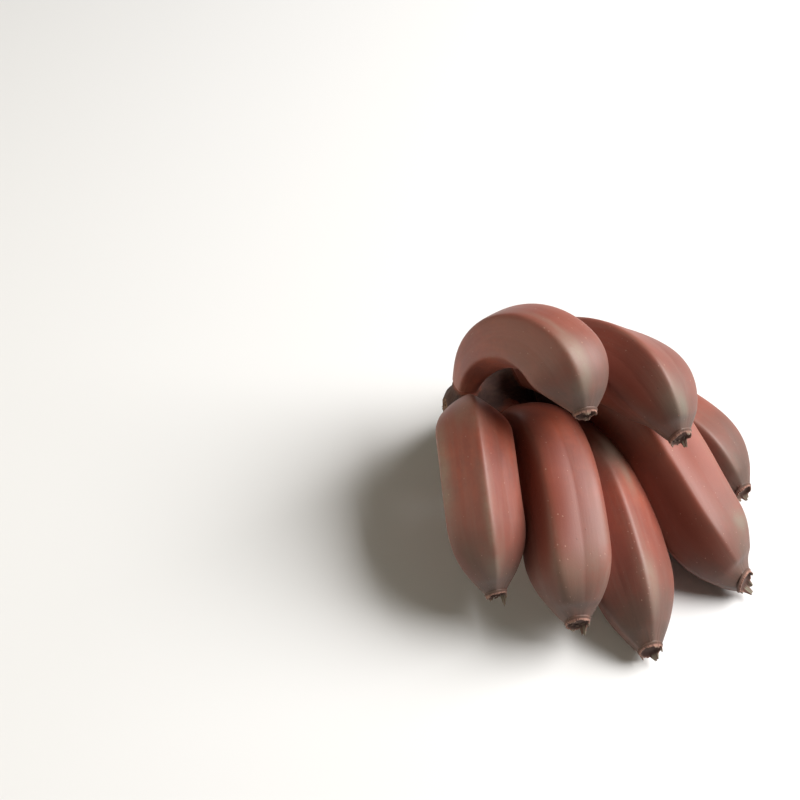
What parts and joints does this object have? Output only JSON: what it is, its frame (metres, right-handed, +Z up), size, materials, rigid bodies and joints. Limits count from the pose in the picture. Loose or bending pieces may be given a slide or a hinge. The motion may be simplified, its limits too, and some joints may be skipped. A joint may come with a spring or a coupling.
{
  "type": "red banana hand",
  "caption": "Hand of plump, ridged red bananas curving in two rows from one cut crown, resting on the fingers and the crown.",
  "frame": {"origin": "middle of the bounding box at the floor the hand rests on", "axes": "+Z up, +X to the right of the viewer, +Y away from the viewer; the blossom ends point toward -Y and the crown is at the left and back"},
  "size_m": [0.171, 0.1688, 0.1264],
  "materials": {
    "peel": "semi-matt waxy peel, brick red with a grey-green bloom near the tips"
  },
  "bodies": {
    "root": {"banana_hand": "peel"}
  },
  "joints": []
}
